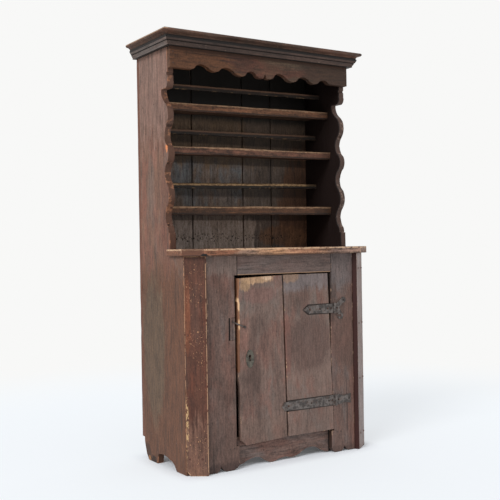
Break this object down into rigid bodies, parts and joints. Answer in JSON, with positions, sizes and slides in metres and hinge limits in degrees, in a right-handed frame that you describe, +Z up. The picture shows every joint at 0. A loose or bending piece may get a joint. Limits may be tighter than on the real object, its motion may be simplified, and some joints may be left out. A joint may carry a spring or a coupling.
{
  "type": "step back cupboard",
  "caption": "Board-built step back cupboard: open scalloped plate rack over a counter and a lower cupboard with canted corner posts and a plank door.",
  "frame": {"origin": "on the floor, centred under the whole cupboard's bounding box", "axes": "+X to the viewer's right when facing the door, +Y to the back, +Z up"},
  "size_m": [1.042, 0.481, 1.833],
  "materials": {
    "carcass_wood": "old dry stain worn matt, pinkish brown",
    "post_wood": "old red-brown stain, worn at the arrises",
    "counter_wood": "scrubbed and worn, stain left in the grain",
    "rack_wood": "old brown stain, matt",
    "back_wood": "dark smoked, matt",
    "door_wood": "old dry stain worn matt",
    "inside_wood": "unfinished, darkened with age",
    "wrought_iron": "forged, brown-black and dull"
  },
  "bodies": {
    "carcass": {"left_side_board": "carcass_wood", "right_side_board": "carcass_wood", "left_stile": "carcass_wood", "right_stile": "carcass_wood", "top_rail": "carcass_wood", "scalloped_apron": "carcass_wood", "keeper_block": "carcass_wood", "left_corner_post": "post_wood", "right_corner_post": "post_wood", "counter_board": "counter_wood", "lower_shelf": "rack_wood", "middle_shelf": "rack_wood", "upper_shelf": "rack_wood", "lower_plate_rail": "rack_wood", "middle_plate_rail": "rack_wood", "upper_plate_rail": "rack_wood", "valance": "rack_wood", "cornice_cap": "rack_wood", "front_bed_moulding": "rack_wood", "left_bed_moulding": "rack_wood", "right_bed_moulding": "rack_wood", "outer_left_back_board": "back_wood", "inner_left_back_board": "back_wood", "inner_right_back_board": "back_wood", "outer_right_back_board": "back_wood", "cupboard_floor": "inside_wood", "floor_bearer": "inside_wood", "inner_shelf": "inside_wood", "shelf_cleats": "inside_wood", "counter_cleats": "inside_wood", "upper_hinge_leaf": "wrought_iron", "lower_hinge_leaf": "wrought_iron", "upper_hinge_pin": "wrought_iron", "lower_hinge_pin": "wrought_iron", "side_nails": "wrought_iron", "back_nails": "wrought_iron", "valance_nails": "wrought_iron", "post_nails": "wrought_iron", "apron_nails": "wrought_iron", "counter_nails": "wrought_iron", "cap_nails": "wrought_iron", "bed_moulding_nails": "wrought_iron", "cleat_nails": "wrought_iron", "leaf_nails": "wrought_iron", "block_nails": "wrought_iron"},
    "door": {"left_door_board": "door_wood", "right_door_board": "door_wood", "upper_door_batten": "inside_wood", "lower_door_batten": "inside_wood", "upper_hinge_strap": "wrought_iron", "lower_hinge_strap": "wrought_iron", "escutcheon": "wrought_iron", "lock_case": "wrought_iron", "latch_nail": "wrought_iron", "batten_nails": "wrought_iron", "strap_nails": "wrought_iron", "escutcheon_pins": "wrought_iron", "lock_nails": "wrought_iron"},
    "lock_bolt": {"lock_bolt": "wrought_iron"},
    "latch_hook": {"latch_hook": "wrought_iron"}
  },
  "joints": [
    {"name": "door_hinge", "type": "hinge", "parent": "carcass", "child": "door", "pos_m": [0.2753, -0.2073, 0.44], "axis": [0, 0, 1], "range_deg": [0, 110]},
    {"name": "lock_bolt_slide", "type": "slide", "parent": "door", "child": "lock_bolt", "axis": [-1, 0, 0], "range_m": [0, 0.022]},
    {"name": "latch_hook_pivot", "type": "hinge", "parent": "door", "child": "latch_hook", "pos_m": [-0.2023, -0.2042, 0.594], "axis": [0, 1, 0], "range_deg": [0, 100]}
  ]
}
